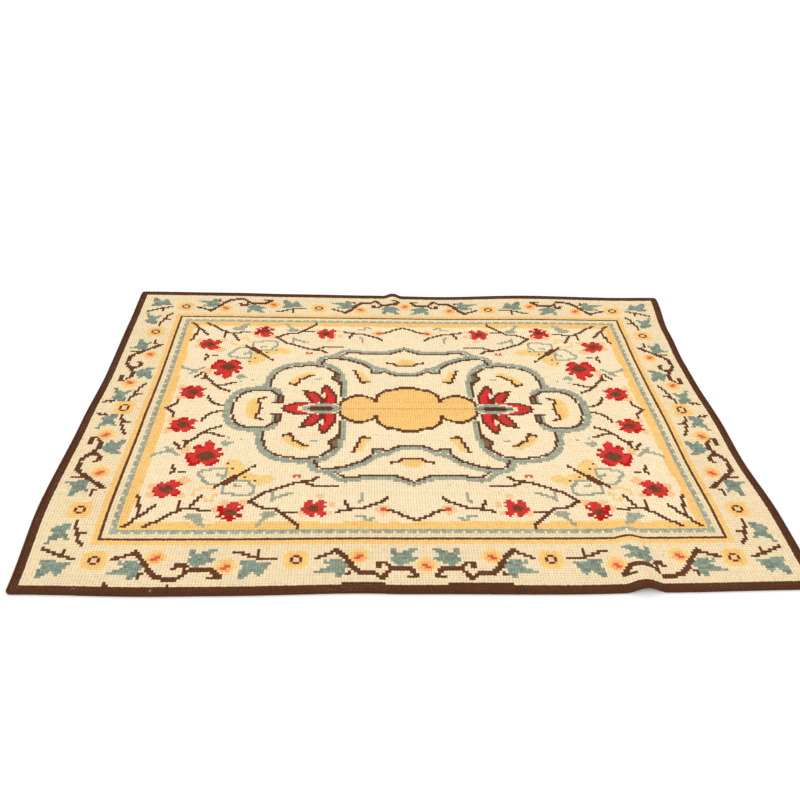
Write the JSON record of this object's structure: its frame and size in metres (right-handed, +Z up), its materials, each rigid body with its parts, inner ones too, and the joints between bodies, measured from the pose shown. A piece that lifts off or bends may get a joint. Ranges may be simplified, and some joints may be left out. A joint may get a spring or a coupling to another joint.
{
  "type": "hooked rug",
  "caption": "Flat rectangular rug hooked in thick wool: a floral medallion field inside a flowered cream border with a dark edge.",
  "frame": {"origin": "middle of the rug's box, on the surface that it lies on", "axes": "+X along the long side, +Y from the front side to the back side, +Z up out of the pile"},
  "size_m": [2.0292, 1.5618, 0.0245],
  "materials": {
    "cream_wool": "matt looped wool pile"
  },
  "bodies": {
    "root": {"hooked_rug": "cream_wool"}
  },
  "joints": []
}
